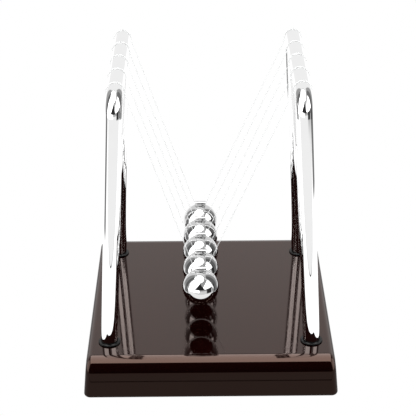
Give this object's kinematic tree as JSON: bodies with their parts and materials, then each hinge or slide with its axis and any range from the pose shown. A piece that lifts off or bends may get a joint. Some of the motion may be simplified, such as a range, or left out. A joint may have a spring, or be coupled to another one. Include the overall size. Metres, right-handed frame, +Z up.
{
  "type": "newton's cradle",
  "caption": "Desk toy: a row of touching steel balls, each hung by a V of clear line from two chromed tube frames on a dark lacquered board.",
  "frame": {"origin": "middle of the board's footprint, on the desk under the rubber feet", "axes": "+Z up, +Y along the row of balls from the front ball to the rear ball, +X across the row to the right"},
  "size_m": [0.152, 0.164, 0.1885],
  "materials": {
    "lacquered_board": "dark mahogany high-gloss lacquer",
    "chrome_tube": "mirror chrome plate",
    "polished_ball": "mirror-polished steel",
    "hanger_steel": "bright plated steel",
    "nylon_line": "clear nylon monofilament",
    "collar_rubber": "black rubber",
    "foot_rubber": "matt black rubber",
    "plain_steel": "turned steel",
    "zinc_steel": "bright zinc plate"
  },
  "bodies": {
    "stand": {"base_board": "lacquered_board", "foot_pads": "foot_rubber", "left_frame": "chrome_tube", "right_frame": "chrome_tube", "leg_collars": "collar_rubber", "leg_plugs": "plain_steel", "leg_screws": "zinc_steel", "leg_washers": "zinc_steel", "left_ties": "nylon_line", "right_ties": "nylon_line"},
    "swing_1": {"ball_1": "polished_ball", "hanger_1": "hanger_steel", "line_1": "nylon_line"},
    "swing_2": {"ball_2": "polished_ball", "hanger_2": "hanger_steel", "line_2": "nylon_line"},
    "swing_3": {"ball_3": "polished_ball", "hanger_3": "hanger_steel", "line_3": "nylon_line"},
    "swing_4": {"ball_4": "polished_ball", "hanger_4": "hanger_steel", "line_4": "nylon_line"},
    "swing_5": {"ball_5": "polished_ball", "hanger_5": "hanger_steel", "line_5": "nylon_line"}
  },
  "joints": [
    {"name": "front_ball_swing", "type": "hinge", "parent": "stand", "child": "swing_1", "pos_m": [0, -0.0444, 0.18107], "axis": [1, 0, 0], "range_deg": [-45, 0.04]},
    {"name": "second_ball_swing", "type": "hinge", "parent": "stand", "child": "swing_2", "pos_m": [0, -0.0222, 0.18107], "axis": [1, 0, 0], "range_deg": [-0.04, 0.04]},
    {"name": "middle_ball_swing", "type": "hinge", "parent": "stand", "child": "swing_3", "pos_m": [0, 0, 0.18107], "axis": [1, 0, 0], "range_deg": [-0.04, 0.04]},
    {"name": "fourth_ball_swing", "type": "hinge", "parent": "stand", "child": "swing_4", "pos_m": [0, 0.0222, 0.18107], "axis": [1, 0, 0], "range_deg": [-0.04, 0.04]},
    {"name": "rear_ball_swing", "type": "hinge", "parent": "stand", "child": "swing_5", "pos_m": [0, 0.0444, 0.18107], "axis": [1, 0, 0], "range_deg": [-0.04, 45]}
  ]
}
